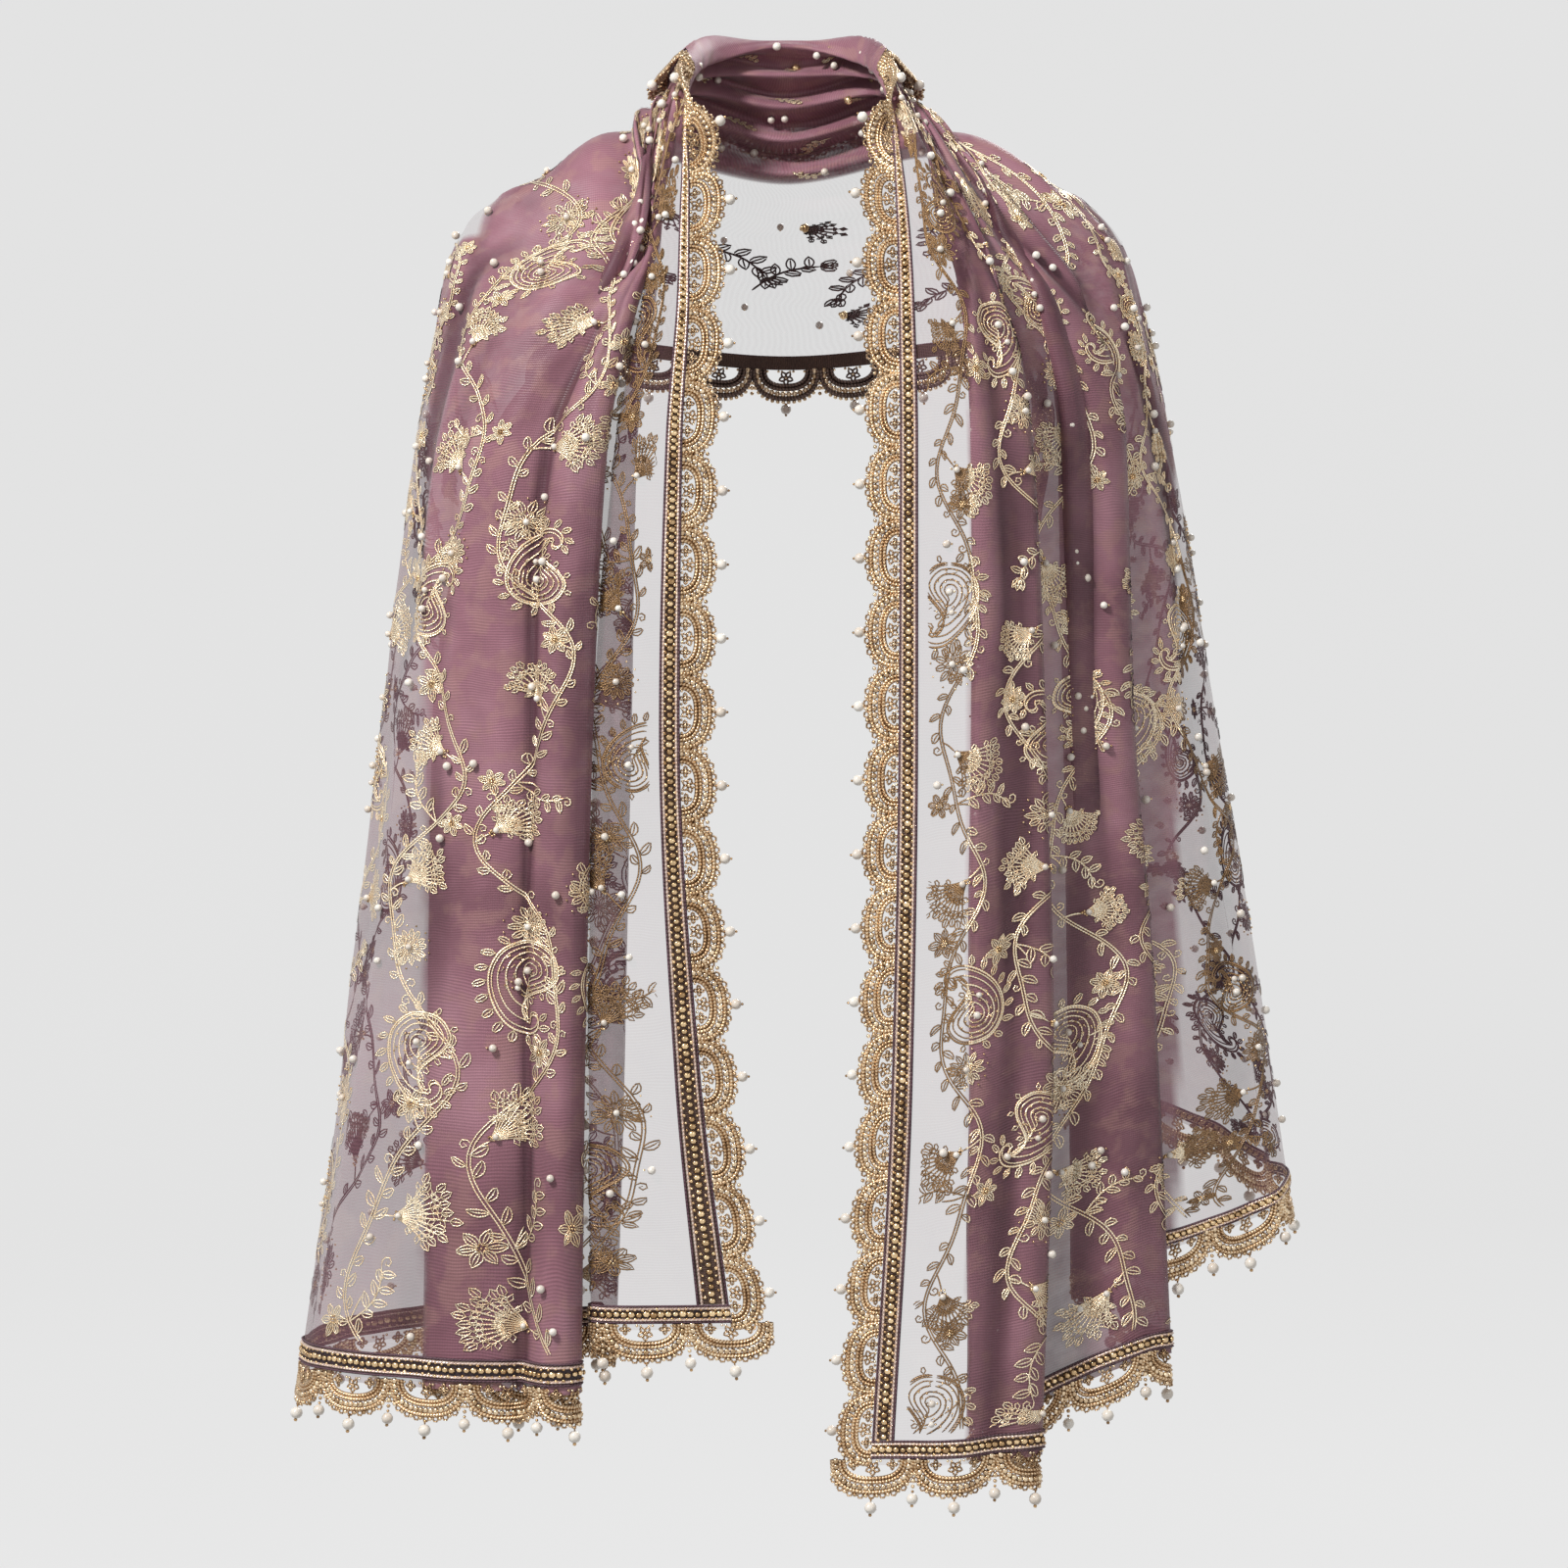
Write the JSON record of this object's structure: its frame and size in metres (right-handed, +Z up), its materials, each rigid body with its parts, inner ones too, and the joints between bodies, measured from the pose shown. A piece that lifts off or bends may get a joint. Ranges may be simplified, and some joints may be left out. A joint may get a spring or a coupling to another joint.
{
  "type": "dupatta",
  "caption": "Sheer embroidered dupatta draped over both shoulders, gathered at the nape, with pleated falls in front and a beaded ribbon and scalloped lace on every edge.",
  "frame": {"origin": "rest point between the shoulders, level with their crest", "axes": "+Z up, +X to the viewer's right, -Y to the front"},
  "size_m": [0.7875, 0.267, 1.1436],
  "materials": {
    "organza": "sheer mauve organza with a soft sheen",
    "beaded_ribbon": "matt gold ribbon with beads and cord",
    "gold_lace": "corded pale gold lace with pearls"
  },
  "bodies": {
    "root": {"cloth_left_fall": "organza", "cloth_nape": "organza", "cloth_right_fall": "organza", "band_inner_left": "beaded_ribbon", "band_nape": "beaded_ribbon", "band_inner_right": "beaded_ribbon", "band_hem_left": "beaded_ribbon", "band_hem_right": "beaded_ribbon", "band_lower_left": "beaded_ribbon", "band_back": "beaded_ribbon", "band_lower_right": "beaded_ribbon", "lace_inner_left": "gold_lace", "lace_nape": "gold_lace", "lace_inner_right": "gold_lace", "lace_hem_left": "gold_lace", "lace_hem_right": "gold_lace", "lace_lower_left": "gold_lace", "lace_back": "gold_lace", "lace_lower_right": "gold_lace"}
  },
  "joints": []
}
